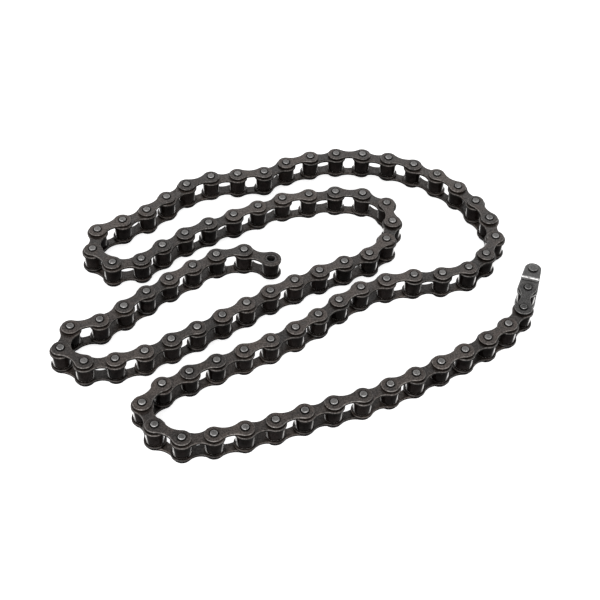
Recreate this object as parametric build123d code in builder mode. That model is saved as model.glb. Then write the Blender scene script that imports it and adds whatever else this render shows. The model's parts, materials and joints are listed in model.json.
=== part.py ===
from build123d import *
from math import atan2, cos, radians, sin, sqrt, tan
import os

os.makedirs("parts", exist_ok=True)

# A roller chain of the half inch by quarter inch kind, lying on its side on a flat surface in an
# open serpentine. The pins stand upright. Pin 1 is the open end, where the bush is still empty,
# and pin 88 is the headed pin of the offset link that would go through it to close the loop.
# Link n joins pin n to pin n + 1. Odd links are inner links: two plates pressed on two bushes,
# each bush with a roller. Even links are outer links: two plates pressed on two pins.
# The origin is the centre of the whole chain's box, on the surface. +Z is up along the pins.

# Chain sizes, in millimetres
PITCH = 12.70
PLATE_T = 1.27
INNER_WIDTH = 6.25  # between the two plates of an inner link
LINK_GAP = 0.10  # between an inner plate and the outer plate beside it
PIN_D = 3.58
PIN_STAND = 0.75  # how far a riveted pin end stands out of its plate
PIN_CHAMFER = 0.30
BUSH_D = 5.08
BUSH_BORE = 3.70
ROLLER_D = 7.77
ROLLER_BORE = 5.30
ROLLER_PLAY = 0.15  # lengthways, between the inner plates
ROLLER_ROUND = 0.25
INNER_EYE = 4.65  # radius of an inner plate's round ends
INNER_WAIST = 2.60  # half its height in the middle
OUTER_EYE = 3.90
OUTER_WAIST = 2.10

# Offset link, cranked from the inner width at pin 87 to the outer width at pin 88
OFFSET_NARROW_EYE = 4.50
OFFSET_WIDE_EYE = 3.75
CRANK_START = 6.75  # from pin 87 to the inside corner where the crank begins
CRANK_LENGTH = 0.90
OFFSET_HOLE = 3.64
HEAD_D = 4.40
HEAD_T = 0.90
HEAD_ROUND = 0.20
GROOVE_D = 2.90
GROOVE_START = 0.15
GROOVE_WIDTH = 0.45
CLIP_D = 5.20
CLIP_BORE = 3.00
CLIP_T = 0.40
CLIP_MOUTH = 1.80

# The lay of the chain: stretches of (links, heading of the first link, turn from link to link),
# in degrees anticlockwise from +X
START_X = -15.75
START_Y = 15.40
LAY = [
    (2, 164, 34),
    (4, 219, 3),
    (2, 224, -22),
    (2, 260, 68),
    (2, 370, 14),
    (5, 396, 1),
    (4, 395, -2),
    (3, 412, 25),
    (2, 512, 27),
    (2, 553, 3),
    (2, 570, 2),
    (4, 571, 6),
    (4, 554, -53),
    (2, 397, 13),
    (3, 409, -18),
    (2, 371, 27),
    (9, 385, -11),
    (2, 279, -32),
    (2, 229, -28),
    (2, 189, 7),
    (2, 208, 14),
    (4, 227, -5),
    (3, 211, 2),
    (2, 237, 62),
    (2, 333, 39),
    (3, 378, 4),
    (2, 384, -2),
    (5, 390, 2),
    (2, 403, 12),
    (2, 437, -2),
]

# Heights of the layers, from the surface up
OUTER_LOW = PIN_STAND
INNER_LOW = OUTER_LOW + PLATE_T + LINK_GAP
ROLLER_LOW = INNER_LOW + PLATE_T
INNER_HIGH = ROLLER_LOW + INNER_WIDTH
OUTER_HIGH = INNER_HIGH + PLATE_T + LINK_GAP
PLATES_TOP = OUTER_HIGH + PLATE_T
PINS_TOP = PLATES_TOP + PIN_STAND
BUSH_LENGTH = INNER_WIDTH + 2 * PLATE_T

# Which links stay in line as they lie, and which are hinged one by one
OPEN_END_LINKS = range(1, 7)
NESTED_RUN = range(7, 56)
SIDE_RUN = range(56, 72)
FRONT_RUN = range(72, 80)
JOINING_END_LINKS = range(80, 87)
OFFSET_LINK = 87


def lay_chain():
    """Each pin's place and each link's heading, along the chain."""
    x, y = START_X, START_Y
    places, headings = [(x, y)], []
    for links, first, turn in LAY:
        for n in range(links):
            heading = first + n * turn
            x += PITCH * cos(radians(heading))
            y += PITCH * sin(radians(heading))
            places.append((x, y))
            headings.append(heading)
    return places, headings


pin_places, link_headings = lay_chain()


def pin_at(pin):
    return pin_places[pin - 1]


def link_location(link):
    """The middle of a link, turned to its heading."""
    (x0, y0), (x1, y1) = pin_at(link), pin_at(link + 1)
    return Location(((x0 + x1) / 2, (y0 + y1) / 2, 0), (0, 0, link_headings[link - 1]))


def is_inner(link):
    return link % 2 == 1


def inner_links(links):
    return [link for link in links if is_inner(link)]


def outer_links(links):
    return [link for link in links if not is_inner(link)]


def both_pins(links):
    return [pin for link in links for pin in (link, link + 1)]


def finish(piece, label):
    piece.label = label
    export_step(piece, f"parts/{label}.step")


# Plan outlines of the plates, centred on the middle of the link
def waisted_outline(eye, waist, hole_d):
    """Two round eyes joined by two hollow flanks that meet the eyes smoothly."""
    half = PITCH / 2
    flank = (half**2 + waist**2 - eye**2) / (2 * (eye - waist))
    share = eye / (eye + flank)
    tx = half - share * half
    ty = share * (waist + flank)
    with BuildSketch() as outline:
        with BuildLine():
            ThreePointArc((-tx, ty), (0, waist), (tx, ty))
            ThreePointArc((tx, ty), (half + eye, 0), (tx, -ty))
            ThreePointArc((tx, -ty), (0, -waist), (-tx, -ty))
            ThreePointArc((-tx, -ty), (-half - eye, 0), (-tx, ty))
        make_face()
        with Locations((-half, 0), (half, 0)):
            Circle(hole_d / 2, mode=Mode.SUBTRACT)
    return outline.sketch


inner_outline = waisted_outline(INNER_EYE, INNER_WAIST, BUSH_D)
outer_outline = waisted_outline(OUTER_EYE, OUTER_WAIST, PIN_D)


def plates(label, outline, links, levels):
    """The flat plates of one or more links, at two heights."""
    with BuildPart() as plate_group:
        for level in levels:
            with BuildSketch(Plane.XY.offset(level)):
                with Locations(*[link_location(link) for link in links]):
                    add(outline)
            extrude(amount=PLATE_T)
    finish(plate_group.part, label)


def inner_plates(label, links):
    plates(label, inner_outline, links, (INNER_LOW, INNER_HIGH))


def outer_plates(label, links):
    plates(label, outer_outline, links, (OUTER_LOW, OUTER_HIGH))


def riveted_pins(label, pins):
    with BuildPart() as pin_group:
        with BuildSketch():
            with Locations(*[pin_at(pin) for pin in pins]):
                Circle(PIN_D / 2)
        extrude(amount=PINS_TOP)
        ends = pin_group.edges().filter_by(GeomType.CIRCLE)
        chamfer(ends, length=PIN_CHAMFER)
    finish(pin_group.part, label)


def bushes(label, pins):
    with BuildPart() as bush_group:
        with BuildSketch(Plane.XY.offset(INNER_LOW)):
            with Locations(*[pin_at(pin) for pin in pins]):
                Circle(BUSH_D / 2)
                Circle(BUSH_BORE / 2, mode=Mode.SUBTRACT)
        extrude(amount=BUSH_LENGTH)
    finish(bush_group.part, label)


def rollers(label, pins):
    with BuildPart() as roller_group:
        with BuildSketch(Plane.XY.offset(ROLLER_LOW + ROLLER_PLAY / 2)):
            with Locations(*[pin_at(pin) for pin in pins]):
                Circle(ROLLER_D / 2)
                Circle(ROLLER_BORE / 2, mode=Mode.SUBTRACT)
        extrude(amount=INNER_WIDTH - ROLLER_PLAY)
        circles = roller_group.edges().filter_by(GeomType.CIRCLE)
        rims = circles.filter_by(lambda edge: edge.radius > ROLLER_BORE / 2 + ROLLER_ROUND)
        fillet(rims, radius=ROLLER_ROUND)
    finish(roller_group.part, label)


# The three long runs that lie as they are
for run_name, run in (
    ("nested_run", NESTED_RUN),
    ("side_run", SIDE_RUN),
    ("front_run", FRONT_RUN),
):
    outer_plates(f"{run_name}_outer_plates", outer_links(run))
    riveted_pins(f"{run_name}_pins", both_pins(outer_links(run)))
    inner_plates(f"{run_name}_inner_plates", inner_links(run))
    bushes(f"{run_name}_bushes", both_pins(inner_links(run)))
    rollers(f"{run_name}_rollers", both_pins(inner_links(run)))

# The links at both ends, each hinged to the next, with a turning roller on each bush
for link in [*OPEN_END_LINKS, *JOINING_END_LINKS]:
    if is_inner(link):
        inner_plates(f"link_{link:02}_inner_plates", [link])
        bushes(f"link_{link:02}_bushes", [link, link + 1])
        rollers(f"roller_{link:02}", [link])
        rollers(f"roller_{link + 1:02}", [link + 1])
    else:
        outer_plates(f"link_{link:02}_outer_plates", [link])
        riveted_pins(f"link_{link:02}_pins", [link, link + 1])

# The offset link: two cranked plates, a bush with a roller, and a headed pin with a clip
offset_x, offset_y = pin_at(OFFSET_LINK)
offset_heading = link_headings[OFFSET_LINK - 1]
offset_place = Location((offset_x, offset_y, 0), (0, 0, offset_heading))
offset_plan = Plane(offset_place)
offset_side = Plane(offset_place * Location((0, 0, 0), (90, 0, 0)))


def offset_outline():
    """Two eyes of different size joined by straight sides, with its origin at the narrow end."""
    lean = (OFFSET_NARROW_EYE - OFFSET_WIDE_EYE) / PITCH
    rise = sqrt(1 - lean**2)
    near = (OFFSET_NARROW_EYE * lean, OFFSET_NARROW_EYE * rise)
    far = (PITCH + OFFSET_WIDE_EYE * lean, OFFSET_WIDE_EYE * rise)
    with BuildSketch() as outline:
        with BuildLine():
            Line(near, far)
            ThreePointArc(far, (PITCH + OFFSET_WIDE_EYE, 0), (far[0], -far[1]))
            Line((far[0], -far[1]), (near[0], -near[1]))
            ThreePointArc((near[0], -near[1]), (-OFFSET_NARROW_EYE, 0), near)
        make_face()
        Circle(BUSH_D / 2, mode=Mode.SUBTRACT)
        with Locations((PITCH, 0)):
            Circle(OFFSET_HOLE / 2, mode=Mode.SUBTRACT)
    return outline.sketch


def cranked_section(narrow_z, wide_z, outwards):
    """Side view of a cranked plate, of even thickness, from its inside face outwards (+1 or -1)."""
    step = abs(wide_z - narrow_z)
    slope = atan2(step, CRANK_LENGTH)
    shift = PLATE_T * tan(slope / 2)
    start = -2 * OFFSET_NARROW_EYE
    end = PITCH + 2 * OFFSET_WIDE_EYE
    thickness = outwards * PLATE_T
    return [
        (start, narrow_z),
        (CRANK_START, narrow_z),
        (CRANK_START + CRANK_LENGTH, wide_z),
        (end, wide_z),
        (end, wide_z + thickness),
        (CRANK_START + CRANK_LENGTH - shift, wide_z + thickness),
        (CRANK_START - shift, narrow_z + thickness),
        (start, narrow_z + thickness),
    ]


def cranked_plate(label, narrow_z, wide_z, outwards):
    with BuildPart() as cranked:
        with BuildSketch(offset_side):
            with BuildLine():
                Polyline(*cranked_section(narrow_z, wide_z, outwards), close=True)
            make_face()
        extrude(amount=2 * OFFSET_NARROW_EYE, both=True)
        with BuildSketch(offset_plan):
            add(offset_outline())
        extrude(amount=PINS_TOP, mode=Mode.INTERSECT)
    finish(cranked.part, label)


cranked_plate("offset_plate_upper", INNER_HIGH, OUTER_HIGH, 1)
cranked_plate("offset_plate_lower", ROLLER_LOW, OUTER_LOW + PLATE_T, -1)
bushes("offset_bush", [OFFSET_LINK])
rollers("offset_roller", [OFFSET_LINK])

joining_pin_plane = Plane(Location((*pin_at(OFFSET_LINK + 1), 0)))

with BuildPart() as offset_pin:
    with BuildSketch(joining_pin_plane):
        Circle(PIN_D / 2)
    extrude(amount=PLATES_TOP)
    with BuildSketch(joining_pin_plane.offset(GROOVE_START)):
        Circle(PIN_D / 2)
        Circle(GROOVE_D / 2, mode=Mode.SUBTRACT)
    extrude(amount=GROOVE_WIDTH, mode=Mode.SUBTRACT)
    with BuildSketch(joining_pin_plane.offset(PLATES_TOP)):
        Circle(HEAD_D / 2)
    extrude(amount=HEAD_T)
    fillet(offset_pin.edges().group_by(Axis.Z)[-1], radius=HEAD_ROUND)
finish(offset_pin.part, "offset_pin")

clip_plane = joining_pin_plane.offset(GROOVE_START + (GROOVE_WIDTH - CLIP_T) / 2)
with BuildPart() as offset_clip:
    with BuildSketch(clip_plane):
        Circle(CLIP_D / 2)
        Circle(CLIP_BORE / 2, mode=Mode.SUBTRACT)
        with Locations((CLIP_D / 2, 0)):
            Rectangle(CLIP_D, CLIP_MOUTH, mode=Mode.SUBTRACT)
    extrude(amount=CLIP_T)
finish(offset_clip.part, "offset_clip")
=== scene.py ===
import bmesh
import bpy
import json
import random
from math import acos, atan2, cos, pi, radians, sin, sqrt, tan
import numpy as np
from mathutils import Matrix, Vector
from mathutils.geometry import tessellate_polygon

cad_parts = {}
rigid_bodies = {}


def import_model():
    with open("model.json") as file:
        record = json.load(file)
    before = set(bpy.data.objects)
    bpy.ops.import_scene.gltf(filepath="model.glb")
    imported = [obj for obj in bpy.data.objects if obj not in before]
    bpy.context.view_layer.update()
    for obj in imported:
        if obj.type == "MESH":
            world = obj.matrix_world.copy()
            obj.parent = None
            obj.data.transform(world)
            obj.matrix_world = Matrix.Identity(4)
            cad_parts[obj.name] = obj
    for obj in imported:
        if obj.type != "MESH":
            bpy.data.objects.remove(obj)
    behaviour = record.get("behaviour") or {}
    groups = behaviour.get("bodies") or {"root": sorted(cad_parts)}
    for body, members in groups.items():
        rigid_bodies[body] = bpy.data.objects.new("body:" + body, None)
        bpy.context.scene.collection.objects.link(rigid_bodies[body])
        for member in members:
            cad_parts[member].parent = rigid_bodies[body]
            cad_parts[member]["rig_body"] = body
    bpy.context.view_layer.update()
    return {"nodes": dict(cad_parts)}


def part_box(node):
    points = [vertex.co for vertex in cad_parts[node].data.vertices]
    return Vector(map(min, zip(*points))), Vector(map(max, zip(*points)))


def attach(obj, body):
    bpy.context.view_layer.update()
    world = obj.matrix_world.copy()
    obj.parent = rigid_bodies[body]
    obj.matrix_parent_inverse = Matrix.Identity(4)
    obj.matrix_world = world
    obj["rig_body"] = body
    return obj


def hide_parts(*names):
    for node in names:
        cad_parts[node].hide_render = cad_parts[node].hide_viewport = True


# A roller chain on its side, in an open serpentine. The CAD nodes carry the places and sizes.
# Every node is replaced by a finer mesh: plates with rolled edges, riveted pin ends, rollers and
# bushes with rounded rims, and a cranked offset link.

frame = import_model()

# Sizes in metres
MM = 0.001
PITCH = 12.70 * MM
HALF_PITCH = PITCH / 2
PLATE_T = 1.27 * MM
PIN_R = 1.79 * MM
BUSH_R = 2.54 * MM
BUSH_BORE_R = 1.85 * MM
ROLLER_R = 3.885 * MM
ROLLER_BORE_R = 2.65 * MM
INNER_EYE = 4.65 * MM
INNER_WAIST = 2.60 * MM
OUTER_EYE = 3.90 * MM
OUTER_WAIST = 2.10 * MM
OFFSET_NARROW_EYE = 4.50 * MM
OFFSET_WIDE_EYE = 3.75 * MM
CRANK_START = 6.75 * MM
CRANK_LENGTH = 0.90 * MM
EDGE_ROLL = 0.40 * MM  # radius of a stamped plate's rolled edge
HOLE_ROLL = 0.26 * MM  # the same at the rim of a hole
PAINTED_SHADE_RING = 1.00 * MM  # width of the ring of painted shade round a hole
RING_PAINTED_SHADE = -0.38  # how dark the painted shade of that ring is at the hole, as a value of wear
LOWER_PLATE_SHADE = 0.40  # how much painted shade darkens the lower plate of each link
ON_PLACE = 0.05 * MM  # how far a pin may be from its pitch
PIN_COUNT = 88
OFFSET_LINK = 87

random.seed(41)


# ---------------------------------------------------------------- places, from the CAD nodes
def islands(node):
    """The separate solids of a CAD node, each as an array of its corners."""
    mesh = frame["nodes"][node].data
    count = len(mesh.vertices)
    corners = np.empty(count * 3)
    mesh.vertices.foreach_get("co", corners)
    corners = corners.reshape(count, 3)
    # corners that share a place are one corner
    keys, index = np.unique(np.round(corners / (0.001 * MM)).astype(np.int64), axis=0, return_inverse=True)
    index = index.ravel()
    root = list(range(len(keys)))

    def find(a):
        while root[a] != a:
            root[a] = root[root[a]]
            a = root[a]
        return a

    for edge in mesh.edges:
        a, b = find(index[edge.vertices[0]]), find(index[edge.vertices[1]])
        root[a] = b
    groups = {}
    for number in range(count):
        groups.setdefault(find(index[number]), []).append(number)
    return [corners[numbers] for numbers in groups.values()]


def axis_of(solid):
    """Centre, seen from above, of the circle on which a turned solid's outermost corners lie."""
    outer = solid[:, :2]
    middle = (outer.min(0) + outer.max(0)) / 2
    reach = np.hypot(*(outer - middle).T)
    rim = outer[reach > 0.93 * reach.max()]
    rows = np.c_[2 * rim, np.ones(len(rim))]
    x, y, _ = np.linalg.lstsq(rows, (rim**2).sum(1), rcond=None)[0]
    return np.array([x, y])


def node_names(ending):
    return sorted(name for name in frame["nodes"] if name.endswith(ending))


def walk_chain():
    """All the pin places, in order from the open end to the headed pin."""
    loose = [axis_of(solid) for name in node_names("_pins") for solid in islands(name)]
    loose.append(axis_of(islands("offset_pin")[0]))
    open_end = [axis_of(solid) for solid in islands("link_01_bushes")]
    first = max(open_end, key=lambda place: min(np.hypot(*(place - other)) for other in loose))
    places = [first]
    while loose:
        gaps = [abs(np.hypot(*(other - places[-1])) - PITCH) for other in loose]
        nearest = int(np.argmin(gaps))
        places.append(loose.pop(nearest))
    return places


pins = walk_chain()
assert len(pins) == PIN_COUNT
for near, far in zip(pins, pins[1:]):
    assert abs(np.hypot(*(far - near)) - PITCH) < ON_PLACE


def heading(link):
    along = pins[link] - pins[link - 1]
    return atan2(along[1], along[0])


def members(node, places):
    """Which numbered places belong to a node: those of its solids' axes."""
    found = []
    for solid in islands(node):
        middle = axis_of(solid)
        gaps = [np.hypot(*(place - middle)) for place in places]
        found.append(int(np.argmin(gaps)) + 1)
    return sorted(set(found))


# ---------------------------------------------------------------- meshes
# wear is real wear together with painted highlights above zero, and painted shade below zero
class Shape:
    """Corners, faces, which faces are smooth, and two values per corner: wear and tone."""

    def __init__(self):
        self.corners, self.faces, self.smooth, self.wear, self.tone = [], [], [], [], []

    def add(self, corners, faces, smooth, wear):
        start = len(self.corners)
        self.corners += [tuple(c) for c in corners]
        self.faces += [tuple(start + n for n in face) for face in faces]
        self.smooth += [smooth] * len(faces)
        self.wear += list(wear)

    def copy_into(self, other, matrix, tone, shade_share=0):
        corners = np.array(self.corners) @ np.array(matrix.to_3x3()).T + np.array(matrix.translation)
        start = len(other.corners)
        other.corners += corners.tolist()
        other.faces += [tuple(start + n for n in face) for face in self.faces]
        other.smooth += self.smooth
        # shade_share darkens the copy with painted shade
        other.wear += [(1 - shade_share) * worn - shade_share for worn in self.wear]
        other.tone += [tone] * len(self.corners)

    def make(self, name, material):
        mesh = bpy.data.meshes.new(name)
        mesh.from_pydata(self.corners, [], self.faces)
        mesh.polygons.foreach_set("use_smooth", self.smooth)
        for label, values in (("wear", self.wear), ("tone", self.tone)):
            attribute = mesh.attributes.new(label, "FLOAT", "POINT")
            attribute.data.foreach_set("value", np.array(values, np.float32))
        mesh.materials.append(material)
        mesh.update()
        piece = bpy.data.objects.new(name, mesh)
        bpy.context.scene.collection.objects.link(piece)
        return piece


def strip(rings, closed_rings):
    """Faces between rings of equal length, each ring closed on itself."""
    count = len(rings[0])
    pairs = list(zip(range(len(rings)), range(1, len(rings))))
    if closed_rings:
        pairs.append((len(rings) - 1, 0))
    faces = []
    for a, b in pairs:
        for n in range(count):
            m = (n + 1) % count
            faces.append((a * count + n, a * count + m, b * count + m, b * count + n))
    return faces


def turned(profile, segments, ring_profile):
    """A turned solid from (radius, z, wear) points.
    A ring profile is a closed loop, and any other profile starts and ends on the axis."""
    shape = Shape()
    inside = profile if ring_profile else profile[1:-1]
    rings, wear = [], []
    angles = [2 * pi * n / segments for n in range(segments)]
    for radius, z, worn in inside:
        rings.append([(radius * cos(angle), radius * sin(angle), z) for angle in angles])
        wear += [worn] * segments
    corners = [corner for ring in rings for corner in ring]
    faces = strip(rings, ring_profile)
    if not ring_profile:
        low, high = len(corners), len(corners) + 1
        corners += [(0, 0, profile[0][1]), (0, 0, profile[-1][1])]
        wear += [profile[0][2], profile[-1][2]]
        last = (len(rings) - 1) * segments
        faces += [(low, (n + 1) % segments, n) for n in range(segments)]
        faces += [(high, last + n, last + (n + 1) % segments) for n in range(segments)]
    shape.add(corners, faces, True, wear)
    return shape


def arc(centre, radius, start, end, steps):
    angles = [start + (end - start) * n / steps for n in range(steps + 1)]
    return [(centre[0] + radius * cos(angle), centre[1] + radius * sin(angle)) for angle in angles]


def waisted_outline(eye, waist):
    """Anticlockwise outline of a plate with two round eyes and hollow flanks, centred on its middle."""
    flank = (HALF_PITCH**2 + waist**2 - eye**2) / (2 * (eye - waist))
    meet = atan2(waist + flank, -HALF_PITCH)  # from the right eye's centre towards the upper flank's
    right = arc((HALF_PITCH, 0), eye, -meet, meet, 36)
    rise = atan2(-(waist + flank), HALF_PITCH)
    top = arc((0, waist + flank), flank, rise, -pi - rise, 14)
    left = [(-x, -y) for x, y in right]
    bottom = [(-x, -y) for x, y in top]
    return right[:-1] + top[:-1] + left[:-1] + bottom[:-1]


def straight_outline():
    """Outline of the offset link's plate, with its origin at the narrow end. Its straight sides have
    many points, so that they can follow the crank."""
    lean = (OFFSET_NARROW_EYE - OFFSET_WIDE_EYE) / PITCH
    turn = acos(lean)
    wide = arc((PITCH, 0), OFFSET_WIDE_EYE, -turn, turn, 32)
    narrow = arc((0, 0), OFFSET_NARROW_EYE, turn, 2 * pi - turn, 36)
    steps = 24
    start, end = np.array(wide[-1]), np.array(narrow[0])
    upper = [tuple(start + (end - start) * n / steps) for n in range(1, steps)]
    lower = [(x, -y) for x, y in reversed(upper)]
    return wide + upper + narrow + lower


def offset_inwards(outline, distance):
    """An anticlockwise outline moved to its left by a distance, corner by corner."""
    points = np.array(outline)
    along = np.roll(points, -1, 0) - np.roll(points, 1, 0)
    along /= np.hypot(*along.T)[:, None]
    return points + distance * np.c_[-along[:, 1], along[:, 0]]


def edge_profile(roll, thickness, steps, rubbed=1.0):
    """(inset, z, wear) from the top face round its rolled edge, down the wall and to the bottom face.
    The roll is made bright halfway down, as rubbed steel and a painted highlight, and painted shade
    darkens the wall below it. A negative value of rubbed paints the whole edge in shade instead."""
    half = thickness / 2
    low_roll = roll * 0.35
    wall_top, wall_low = half - roll, -half + low_roll
    points = []
    for n in range(steps + 1):
        angle = pi / 2 * n / steps
        bright = 0.85 * max(0, 1 - ((angle - 0.95) / 0.75) ** 2)
        points.append((roll * (1 - sin(angle)), half - roll * (1 - cos(angle)), bright * rubbed))
    # painted shade on the wall below the roll
    painted_shade = -1.0 if rubbed > 0 else rubbed
    points.append((0, wall_top - 0.12 * (wall_top - wall_low), -0.3 * abs(rubbed)))
    points.append((0, wall_top - 0.35 * (wall_top - wall_low), painted_shade))
    for n in range(steps + 1):
        angle = pi / 2 * n / steps
        points.append((low_roll * (1 - cos(angle)), wall_low - low_roll * sin(angle), painted_shade))
    return points


def add_wall(shape, contour, profile, lift=0):
    """Adds the wall along a contour. Returns where its top and bottom rings start, and their length."""
    rings, wear = [], []
    for inset, z, worn in profile:
        rings.append([(x, y, z + lift) for x, y in offset_inwards(contour, inset)])
        wear += [worn] * len(contour)
    start = len(shape.corners)
    corners = [corner for ring in rings for corner in ring]
    shape.add(corners, [face[::-1] for face in strip(rings, False)], True, wear)
    return start, start + (len(rings) - 1) * len(contour), len(contour)


def add_flat_faces(shape, loops):
    """Fills the top face and the bottom face inside the walls that add_wall returned."""
    for which, flip in ((0, False), (1, True)):
        numbers = [loop[which] + n for loop in loops for n in range(loop[2])]
        lists = [[Vector(shape.corners[loop[which] + n]) for n in range(loop[2])] for loop in loops]
        for triangle in tessellate_polygon(lists):
            a, b, c = (numbers[n] for n in triangle)
            p, q, r = (Vector(shape.corners[n]) for n in (a, b, c))
            upwards = (q - p).cross(r - p).z > 0
            shape.faces.append((a, b, c) if upwards != flip else (a, c, b))
            shape.smooth.append(False)


def plate(outline, holes, thickness=PLATE_T, edge_roll=EDGE_ROLL, steps=4):
    """A flat stamped plate with round holes, both its faces flat and its edges rolled."""
    shape = Shape()
    loops = []
    contours = [(outline, edge_roll, 1.0)]
    for x, y, hole_r in holes:
        circle = arc((x, y), hole_r, 2 * pi, 0, 28)[:-1]
        # a hole's wall is painted in shade all round, and so is a ring of the face round the hole
        contours.append((circle, HOLE_ROLL, -1.6))
    for contour, roll, rubbed in contours:
        profile = edge_profile(roll, thickness, steps, rubbed)
        if rubbed < 0:
            inset, z, _ = profile[0]
            profile = [(inset + PAINTED_SHADE_RING, z, 0), (inset, z, RING_PAINTED_SHADE)] + profile[1:]
        loops.append(add_wall(shape, contour, profile))
    add_flat_faces(shape, loops)
    return shape


def link_plate(eye, waist, hole_r):
    return plate(waisted_outline(eye, waist), [(-HALF_PITCH, 0, hole_r), (HALF_PITCH, 0, hole_r)])


BUSH_HOLE = BUSH_R + 0.01 * MM
PIN_HOLE = PIN_R + 0.02 * MM
inner_plate = link_plate(INNER_EYE, INNER_WAIST, BUSH_HOLE)
outer_plate = link_plate(OUTER_EYE, OUTER_WAIST, PIN_HOLE)


def ring_profile(inner_r, outer_r, low, high, inner_roll, outer_roll, steps=4):
    """Closed loop of a hollow turned part with rounded rims."""
    loop = []
    for radius, z, roll, start in (
        (outer_r - outer_roll, low + outer_roll, outer_roll, -pi / 2),
        (outer_r - outer_roll, high - outer_roll, outer_roll, 0),
        (inner_r + inner_roll, high - inner_roll, inner_roll, pi / 2),
        (inner_r + inner_roll, low + inner_roll, inner_roll, pi),
    ):
        for n in range(steps + 1):
            angle = start + pi / 2 * n / steps
            loop.append((radius + roll * cos(angle), z + roll * sin(angle), abs(sin(2 * (angle - start)))))
    return loop


def node_z(node):
    low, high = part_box(node)
    return low.z, high.z


bush_low, bush_high = node_z("link_01_bushes")
roller_low, roller_high = node_z("roller_01")
pin_low, pin_high = node_z("link_02_pins")

bush_loop = ring_profile(BUSH_BORE_R, BUSH_R, bush_low, bush_high, 0.16 * MM, 0.12 * MM)
bush = turned(bush_loop, 40, True)
roller_loop = ring_profile(ROLLER_BORE_R, ROLLER_R, roller_low, roller_high, 0.15 * MM, 0.35 * MM)
roller = turned(roller_loop, 56, True)


def riveted_end():
    """(radius, height above the pin's end, wear) of a riveted end: a flat middle, a rounded
    shoulder made bright as wear and a painted highlight, and a short wall in painted shade that goes down
    into the plate's hole."""
    return [
        (0.0, -0.03 * MM, 0.0),
        (0.45 * MM, -0.03 * MM, 0.0),
        (0.70 * MM, 0.0, 0.05),
        (1.05 * MM, 0.0, 0.05),
        (1.20 * MM, -0.03 * MM, 0.2),
        (1.33 * MM, -0.10 * MM, 0.7),
        (1.43 * MM, -0.20 * MM, 1.0),
        (1.50 * MM, -0.32 * MM, 0.6),
        (1.54 * MM, -0.46 * MM, -0.4),
        (1.56 * MM, -0.66 * MM, -1.0),
        (1.57 * MM, -0.76 * MM, -1.0),
        (1.59 * MM, -0.86 * MM, -1.0),
        (1.70 * MM, -1.00 * MM, -1.0),
        (1.78 * MM, -1.15 * MM, -1.0),
    ]


def pin_profile():
    end = riveted_end()
    high = [(radius, pin_high + drop, worn) for radius, drop, worn in end]
    low = [(radius, pin_low - drop, worn) for radius, drop, worn in end]
    shank_r, end_length = PIN_R - 0.005 * MM, 1.3 * MM
    shank = [(shank_r, pin_low + end_length, 0.0), (shank_r, pin_high - end_length, 0.0)]
    return low + shank + high[::-1]


pin = turned(pin_profile(), 36, False)


# ---------------------------------------------------------------- materials
def new_material(name):
    material = bpy.data.materials.new(name)
    material.use_nodes = True
    nodes, links = material.node_tree.nodes, material.node_tree.links
    nodes.clear()
    output = nodes.new("ShaderNodeOutputMaterial")
    shader = nodes.new("ShaderNodeBsdfPrincipled")
    links.new(shader.outputs["BSDF"], output.inputs["Surface"])
    return material, nodes, links, shader


def noise(nodes, links, coordinate, scale, detail, roughness):
    texture = nodes.new("ShaderNodeTexNoise")
    texture.inputs["Scale"].default_value = scale
    texture.inputs["Detail"].default_value = detail
    texture.inputs["Roughness"].default_value = roughness
    links.new(coordinate, texture.inputs["Vector"])
    return texture.outputs["Fac"]


def ramp(nodes, links, value, stops):
    curve = nodes.new("ShaderNodeValToRGB")
    elements = curve.color_ramp.elements
    while len(elements) < len(stops):
        elements.new(0.5)
    for element, (place, colour) in zip(elements, stops):
        element.position = place
        element.color = (*colour, 1)
    links.new(value, curve.inputs["Fac"])
    return curve.outputs["Color"]


def span(nodes, links, value, low, high, to_low, to_high):
    node = nodes.new("ShaderNodeMapRange")
    node.inputs["From Min"].default_value = low
    node.inputs["From Max"].default_value = high
    node.inputs["To Min"].default_value = to_low
    node.inputs["To Max"].default_value = to_high
    links.new(value, node.inputs["Value"])
    return node.outputs["Result"]


def maths(nodes, links, operation, a, b):
    node = nodes.new("ShaderNodeMath")
    node.operation = operation
    for socket, value in zip(node.inputs, (a, b)):
        if isinstance(value, (int, float)):
            socket.default_value = value
        else:
            links.new(value, socket)
    return node.outputs["Value"]


def mixed(nodes, links, factor, a, b, blend="MIX"):
    node = nodes.new("ShaderNodeMix")
    node.data_type = "RGBA"
    node.blend_type = blend
    colours = [socket for socket in node.inputs if socket.type == "RGBA"]
    for socket, value in ((node.inputs[0], factor), (colours[0], a), (colours[1], b)):
        if isinstance(value, tuple):
            socket.default_value = (*value, 1)
        elif isinstance(value, (int, float)):
            socket.default_value = value
        else:
            links.new(value, socket)
    return [socket for socket in node.outputs if socket.type == "RGBA"][0]


# Feature sizes of the noise patterns: patterns in each metre
BLOTCH_SCALE = 260
RUB_SCALE = 900
FLECK_SCALE = 1300
GRIT_SCALE = 2600


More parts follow.
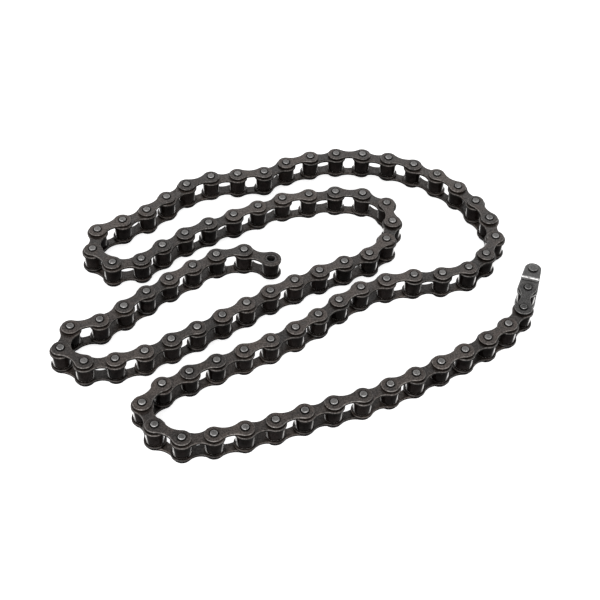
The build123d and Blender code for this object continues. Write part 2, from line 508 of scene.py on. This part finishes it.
def steel(
    name, dark, light, worn, metallic, rough,
    grain=0.10, wear_share=0.8, specular=0.5, flecks=0.15, painted_highlight_edge=None,
):
    """Blackened or bare steel: blotchy tone, flecks, fine grain, rubbed edges, painted shade and uneven
    gloss.
    dark and light are the two ends of its tone, and worn is the colour where it is rubbed and where a
    highlight is painted.
    painted_highlight_edge paints a highlight on a roller's sides: between two facing values its colour
    turns near white and the steel metallic."""
    material, nodes, links, shader = new_material(name)
    place = nodes.new("ShaderNodeTexCoord").outputs["Object"]
    wear = nodes.new("ShaderNodeAttribute")
    wear.attribute_name = "wear"
    tone = nodes.new("ShaderNodeAttribute")
    tone.attribute_name = "tone"
    blotches = noise(nodes, links, place, BLOTCH_SCALE, 4, 0.6)
    grit = noise(nodes, links, place, GRIT_SCALE, 3, 0.65)
    shift = span(nodes, links, tone.outputs["Fac"], 0, 1, -0.16, 0.16)
    base = maths(nodes, links, "ADD", blotches, shift)
    colour = ramp(nodes, links, base, ((0.36, dark), (0.68, light)))
    speck_stops = ((0.30, (0.50, 0.50, 0.50)), (0.52, (1.0, 1.0, 1.0)), (0.74, (1.90, 1.86, 1.84)))
    speck = ramp(nodes, links, grit, speck_stops)
    colour = mixed(nodes, links, 0.8, colour, speck, "MULTIPLY")
    # wear below zero paints shade: it darkens the colour here and weakens the specular reflection below
    painted_shade = span(nodes, links, wear.outputs["Fac"], -1, -0.1, 0.08, 1)
    colour = mixed(nodes, links, 1.0, colour, painted_shade, "MULTIPLY")
    rub = noise(nodes, links, place, RUB_SCALE, 3, 0.6)
    rubbed = span(nodes, links, rub, 0.36, 0.62, 0.25, 1.0)
    # above zero it mixes in the worn colour, as real wear and as painted highlights
    worn_place = maths(nodes, links, "MAXIMUM", wear.outputs["Fac"], 0)
    rubbed_place = maths(nodes, links, "MULTIPLY", worn_place, rubbed)
    amount = maths(nodes, links, "MULTIPLY", rubbed_place, wear_share)
    colour = mixed(nodes, links, amount, colour, worn)
    if painted_highlight_edge:
        facing = nodes.new("ShaderNodeLayerWeight")
        facing.inputs["Blend"].default_value = 0.5
        painted_highlight_share = span(nodes, links, facing.outputs["Facing"], *painted_highlight_edge, 0, 1)
        colour = mixed(nodes, links, painted_highlight_share, colour, (0.92, 0.90, 0.88))
        links.new(painted_highlight_share, shader.inputs["Metallic"])
    else:
        shader.inputs["Metallic"].default_value = metallic
    gloss = span(nodes, links, blotches, 0.3, 0.7, *rough)
    links.new(gloss, shader.inputs["Roughness"])
    specular_under_shade = span(nodes, links, wear.outputs["Fac"], -1, -0.1, 0.05 * specular, specular)
    patches = noise(nodes, links, place, FLECK_SCALE, 2, 0.7)
    fleck = span(nodes, links, patches, 0.38, 0.62, 1 - flecks, 1 + flecks)
    links.new(maths(nodes, links, "MULTIPLY", specular_under_shade, fleck), shader.inputs["Specular IOR Level"])
    links.new(mixed(nodes, links, 1.0, colour, fleck, "MULTIPLY"), shader.inputs["Base Color"])
    bump = nodes.new("ShaderNodeBump")
    bump.inputs["Strength"].default_value = grain
    bump.inputs["Distance"].default_value = 0.05 * MM
    links.new(grit, bump.inputs["Height"])
    links.new(bump.outputs["Normal"], shader.inputs["Normal"])
    return material


outer_steel = steel(
    "outer_plate_steel", (0.0185, 0.0140, 0.0117), (0.067, 0.0515, 0.0435), (0.28, 0.262, 0.248),
    metallic=0.15, rough=(0.34, 0.50), grain=0.30, wear_share=0.8, specular=0.42, flecks=0.38,
)
inner_steel = steel(
    "inner_plate_steel", (0.0120, 0.0090, 0.0075), (0.045, 0.0345, 0.0292), (0.19, 0.175, 0.163),
    metallic=0.15, rough=(0.36, 0.50), grain=0.30, wear_share=0.7, specular=0.42, flecks=0.38,
)
pin_steel = steel(
    "pin_steel", (0.085, 0.082, 0.080), (0.165, 0.160, 0.156), (0.80, 0.79, 0.78),
    metallic=0.20, rough=(0.30, 0.45), wear_share=0.75, specular=0.3,
)
# the last outer link is greyer than the others, and its pins are darker
last_plate_steel = steel(
    "last_plate_steel", (0.015, 0.0142, 0.0136), (0.066, 0.0635, 0.0610), (0.36, 0.35, 0.34),
    metallic=0.12, rough=(0.34, 0.50), grain=0.35, wear_share=0.6, specular=0.42, flecks=0.38,
)
last_pin_steel = steel(
    "last_pin_steel", (0.020, 0.0195, 0.0190), (0.045, 0.0440, 0.0430), (0.70, 0.69, 0.68),
    metallic=0.35, rough=(0.28, 0.42), wear_share=0.8, specular=0.35,
)
bush_steel = steel(
    "bush_steel", (0.018, 0.016, 0.015), (0.040, 0.037, 0.035), (0.12, 0.11, 0.10),
    metallic=0.3, rough=(0.26, 0.40), wear_share=0.4,
)
roller_steel = steel(
    "roller_steel", (0.0021, 0.0015, 0.0013), (0.0080, 0.0060, 0.0054), (0.03, 0.026, 0.024),
    metallic=0.0, rough=(0.10, 0.18), grain=0.03, wear_share=0.2, specular=0.02, painted_highlight_edge=(0.60, 0.86),
)
offset_steel = steel(
    "offset_steel", (0.036, 0.0357, 0.035), (0.088, 0.0870, 0.0855), (0.80, 0.79, 0.78),
    metallic=0.20, rough=(0.26, 0.40), grain=0.2, wear_share=0.7, specular=0.35,
)
headed_steel = steel(
    "headed_pin_steel", (0.052, 0.0515, 0.0505), (0.090, 0.0890, 0.0875), (0.60, 0.59, 0.58),
    metallic=0.25, rough=(0.28, 0.42), wear_share=0.7, specular=0.4,
)
clip_steel = steel(
    "clip_steel", (0.10, 0.10, 0.10), (0.16, 0.16, 0.155), (0.40, 0.40, 0.39),
    metallic=0.9, rough=(0.25, 0.35),
)


# ---------------------------------------------------------------- pieces on their bodies
def settle(shape, node, material):
    """Makes the piece that stands for a CAD node, on the node's own body."""
    piece = shape.make(f"fine_{node}", material)
    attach(piece, frame["nodes"][node]["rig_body"])
    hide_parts(node)
    return piece


def turned_group(node, proto, material):
    group = Shape()
    for number in members(node, pins):
        x, y = pins[number - 1]
        spin = random.uniform(0, 2 * pi)
        matrix = Matrix.Translation((x, y, 0)) @ Matrix.Rotation(spin, 4, "Z")
        proto.copy_into(group, matrix, random.random())
    return settle(group, node, material)


link_middles = [(a + b) / 2 for a, b in zip(pins, pins[1:])]


def link_numbers(node):
    """The links whose plates a node holds: the box of each plate is centred on the middle of its link."""
    found = set()
    for solid in islands(node):
        middle = (solid[:, :2].min(0) + solid[:, :2].max(0)) / 2
        gaps = [np.hypot(*(place - middle)) for place in link_middles]
        found.add(int(np.argmin(gaps)) + 1)
    return sorted(found)


def plate_group(node, proto, material):
    group = Shape()
    low, high = node_z(node)
    for link in link_numbers(node):
        x, y = link_middles[link - 1]
        # the lower plate of each link is darkened with painted shade
        for z, shade_share in ((high - PLATE_T / 2, 0), (low + PLATE_T / 2, LOWER_PLATE_SHADE)):
            turn = heading(link) + (pi if random.random() < 0.5 else 0)
            matrix = Matrix.Translation((x, y, z)) @ Matrix.Rotation(turn, 4, "Z")
            proto.copy_into(group, matrix, random.random(), shade_share)
    return settle(group, node, material)


for name in node_names("_outer_plates"):
    plate_steel = last_plate_steel if name == "link_86_outer_plates" else outer_steel
    plate_group(name, outer_plate, plate_steel)
for name in node_names("_inner_plates"):
    plate_group(name, inner_plate, inner_steel)
for name in node_names("_pins"):
    turned_group(name, pin, last_pin_steel if name == "link_86_pins" else pin_steel)
for name in node_names("_bushes") + ["offset_bush"]:
    turned_group(name, bush, bush_steel)
for name in [n for n in node_names("") if "roller" in n]:
    turned_group(name, roller, roller_steel)


# ---------------------------------------------------------------- the offset link
def smooth_step(x, start, end, soft):
    """0 before start, 1 after end, straight between, with both corners rounded over a soft length."""

    def eased(t):
        return np.where(t < -soft, 0, np.where(t > soft, t, (t + soft) ** 2 / (4 * soft)))

    return (eased(x - start) - eased(x - end)) / (end - start)


offset_turn = heading(OFFSET_LINK)
offset_x, offset_y = pins[OFFSET_LINK - 1]
offset_matrix = Matrix.Translation((offset_x, offset_y, 0)) @ Matrix.Rotation(offset_turn, 4, "Z")


KNEE = 0.15 * MM  # half the length over which a bend is rounded
BEND_CUTS = 29
SHORT_STEP = 0.01 * MM  # over which the slope of the bend is measured


def cranked_plate(node, side):
    """A plate bent over the crank. side is 1 for the upper plate and -1 for the lower one.
    The upper part of the upper plate's ramp gets a painted highlight."""
    low, high = node_z(node)
    rise = (high - low) - PLATE_T
    narrow_z = (low if side > 0 else high) + side * PLATE_T / 2
    outline = straight_outline()
    flat = plate(outline, [(0, 0, BUSH_HOLE), (PITCH, 0, PIN_HOLE)])
    # the flat faces are cut into narrow strips across the crank so that they can bend
    mesh = bpy.data.meshes.new("blank")
    mesh.from_pydata(flat.corners, [], flat.faces)
    mesh.polygons.foreach_set("use_smooth", flat.smooth)
    wear = mesh.attributes.new("wear", "FLOAT", "POINT")
    wear.data.foreach_set("value", np.array(flat.wear, np.float32))
    work = bmesh.new()
    work.from_mesh(mesh)
    slope = atan2(rise, CRANK_LENGTH)
    middle_start = CRANK_START - PLATE_T / 2 * tan(slope / 2)
    middle_end = middle_start + CRANK_LENGTH
    for place in np.linspace(middle_start - 2 * KNEE, middle_end + 2 * KNEE, BEND_CUTS):
        everything = work.verts[:] + work.edges[:] + work.faces[:]
        bmesh.ops.bisect_plane(work, geom=everything, plane_co=(place, 0, 0), plane_no=(1, 0, 0))
    layer = work.verts.layers.float["wear"]
    for vert in work.verts:
        x, y, z = vert.co
        step = float(smooth_step(x, middle_start, middle_end, KNEE))
        ahead = float(smooth_step(x + SHORT_STEP, middle_start, middle_end, KNEE))
        angle = atan2((ahead - step) * rise * side, SHORT_STEP)
        vert.co = (x - z * sin(angle), y, narrow_z + side * rise * step + z * cos(angle))
        # painted highlight along the upper part of the ramp
        if z > 0 and side > 0 and angle:
            vert[layer] = sin(abs(angle)) * min(2.4, max(-0.4, 24 * (step - 0.72)))
    work.to_mesh(mesh)
    work.free()
    mesh.transform(offset_matrix)
    tone = mesh.attributes.new("tone", "FLOAT", "POINT")
    tone.data.foreach_set("value", np.full(len(mesh.vertices), 0.5, np.float32))
    mesh.materials.append(offset_steel)
    mesh.polygons.foreach_set("use_smooth", [True] * len(mesh.polygons))
    mesh.set_sharp_from_angle(angle=radians(28))
    piece = bpy.data.objects.new(f"fine_{node}", mesh)
    bpy.context.scene.collection.objects.link(piece)
    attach(piece, frame["nodes"][node]["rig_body"])
    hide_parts(node)


cranked_plate("offset_plate_upper", 1)
cranked_plate("offset_plate_lower", -1)

# the headed pin, with a groove near its lower end for the clip
HEAD_R = 2.20 * MM
GROOVE_R = 1.45 * MM
head_low, head_high = node_z("offset_pin")
plates_top = node_z("offset_plate_upper")[1]
clip_low, clip_high = node_z("offset_clip")
headed_profile = [
    (0, head_low, 0.2),
    (1.1 * MM, head_low, 0.2),
    (1.35 * MM, head_low + 0.03 * MM, 0.6),
    (1.45 * MM, clip_low - 0.03 * MM, 0.6),
    (GROOVE_R, clip_low - 0.02 * MM, 0.2),
    (GROOVE_R, clip_high + 0.02 * MM, 0.2),
    (PIN_R, clip_high + 0.03 * MM, 0.6),
    (PIN_R, plates_top - 0.01 * MM, 0.1),
    # the wall of the head is painted in shade, and its rounded rim is bright, as wear and a painted
    # highlight
    (HEAD_R - 0.10 * MM, plates_top + 0.01 * MM, -1.0),
    (HEAD_R - 0.03 * MM, plates_top + 0.10 * MM, -1.0),
    (HEAD_R, plates_top + 0.25 * MM, -1.0),
    (HEAD_R, plates_top + 0.42 * MM, -1.0),
    (HEAD_R - 0.01 * MM, head_high - 0.30 * MM, -0.7),
    (HEAD_R - 0.06 * MM, head_high - 0.18 * MM, 0.9),
    (HEAD_R - 0.16 * MM, head_high - 0.08 * MM, 0.9),
    (HEAD_R - 0.32 * MM, head_high - 0.02 * MM, 0.3),
    (HEAD_R - 0.60 * MM, head_high, 0.1),
    (HEAD_R - 1.20 * MM, head_high, 0.0),
    (0, head_high, 0.0),
]
turned_group("offset_pin", turned(headed_profile, 48, False), headed_steel)


def clip_shape():
    """A flat open ring, its mouth on +X, with softened edges."""
    inner_r, outer_r, mouth = 1.50 * MM, 2.60 * MM, 0.90 * MM
    start = atan2(mouth, sqrt(outer_r**2 - mouth**2))
    start_in = atan2(mouth, sqrt(inner_r**2 - mouth**2))
    outer = arc((0, 0), outer_r, start, 2 * pi - start, 40)
    inner = arc((0, 0), inner_r, 2 * pi - start_in, start_in, 30)
    shape = Shape()
    profile = edge_profile(0.08 * MM, clip_high - clip_low, 2)
    add_flat_faces(shape, [add_wall(shape, outer + inner, profile, (clip_low + clip_high) / 2)])
    return shape


clip = Shape()
clip_x, clip_y = pins[OFFSET_LINK]
clip_shape().copy_into(clip, Matrix.Translation((clip_x, clip_y, 0)), 0.5)
settle(clip, "offset_clip", clip_steel)


# ---------------------------------------------------------------- floor, light and camera
WORLD_STRENGTH = 0.42
FLOOR_GLOW = 0.78  # keeps the ground white around the chain, as it is in the photograph


def make_floor():
    reach = 3.0
    mesh = bpy.data.meshes.new("floor")
    corners = [(-reach, -reach, 0), (reach, -reach, 0), (reach, reach, 0), (-reach, reach, 0)]
    mesh.from_pydata(corners, [], [(0, 1, 2, 3)])
    material, nodes, links, shader = new_material("floor_white")
    shader.inputs["Base Color"].default_value = (0.93, 0.93, 0.93, 1)
    shader.inputs["Roughness"].default_value = 0.9
    shader.inputs["Specular IOR Level"].default_value = 0.2
    shader.inputs["Emission Color"].default_value = (1, 1, 1, 1)
    shader.inputs["Emission Strength"].default_value = FLOOR_GLOW
    mesh.materials.append(material)
    floor = bpy.data.objects.new("floor", mesh)
    bpy.context.scene.collection.objects.link(floor)


def area_light(name, place, target, size, power):
    data = bpy.data.lights.new(name, "AREA")
    data.shape = "RECTANGLE"
    data.size, data.size_y = size
    data.energy = power
    lamp = bpy.data.objects.new(name, data)
    lamp.location = place
    lamp.rotation_euler = (Vector(target) - Vector(place)).to_track_quat("-Z", "Y").to_euler()
    bpy.context.scene.collection.objects.link(lamp)


def make_world(strength):
    world = bpy.data.worlds.new("studio")
    world.use_nodes = True
    background = world.node_tree.nodes["Background"]
    background.inputs["Color"].default_value = (1, 1, 1, 1)
    background.inputs["Strength"].default_value = strength
    bpy.context.scene.world = world


make_floor()
make_world(WORLD_STRENGTH)
area_light("front_low", (-0.25, -1.15, 0.50), (0, 0, 0), (1.3, 0.40), 14)
area_light("behind", (0.0, 1.05, 0.80), (0, 0.06, 0), (1.4, 0.35), 5)

# the camera, solved from the equal spacing of the pins
FOCAL_IN_FRAMES = 1401.68 / 600  # focal length as a share of the picture's width
TILT = radians(44.96)
ROLL = radians(2.80)
CAMERA_PLACE = (-1.95 * MM, -438.5 * MM, 438.9 * MM)
SENSOR = 36

camera_data = bpy.data.cameras.new("camera")
camera_data.sensor_width = SENSOR
camera_data.lens = SENSOR * FOCAL_IN_FRAMES
camera_data.clip_start = 0.01
camera = bpy.data.objects.new("camera", camera_data)
looking = Matrix.Rotation(pi / 2 - TILT, 4, "X") @ Matrix.Rotation(ROLL, 4, "Z")
camera.matrix_world = Matrix.Translation(CAMERA_PLACE) @ looking
bpy.context.scene.collection.objects.link(camera)
bpy.context.scene.camera = camera
bpy.context.scene.view_settings.view_transform = "Standard"
